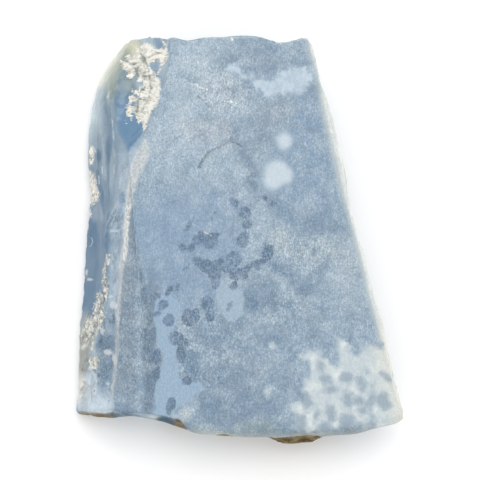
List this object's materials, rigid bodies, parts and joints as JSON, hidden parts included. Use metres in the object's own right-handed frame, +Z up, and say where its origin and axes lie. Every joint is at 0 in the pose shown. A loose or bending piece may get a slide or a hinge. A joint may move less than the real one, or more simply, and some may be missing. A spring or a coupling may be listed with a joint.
{
  "type": "rough opal",
  "caption": "Palm-sized lump of rough blue opal, sawn flat on top and underneath, glassy and broken on its sides, with a brown rind patch.",
  "frame": {"origin": "centre of the bounding box's bottom, on the lower sawn face", "axes": "+Z up out of the main sawn face, +Y towards the narrow end, +X to the right with the glassy break on the left"},
  "size_m": [0.0592, 0.0756, 0.015],
  "materials": {
    "opal_stone": "satin"
  },
  "bodies": {
    "root": {"opal": "opal_stone"}
  },
  "joints": []
}
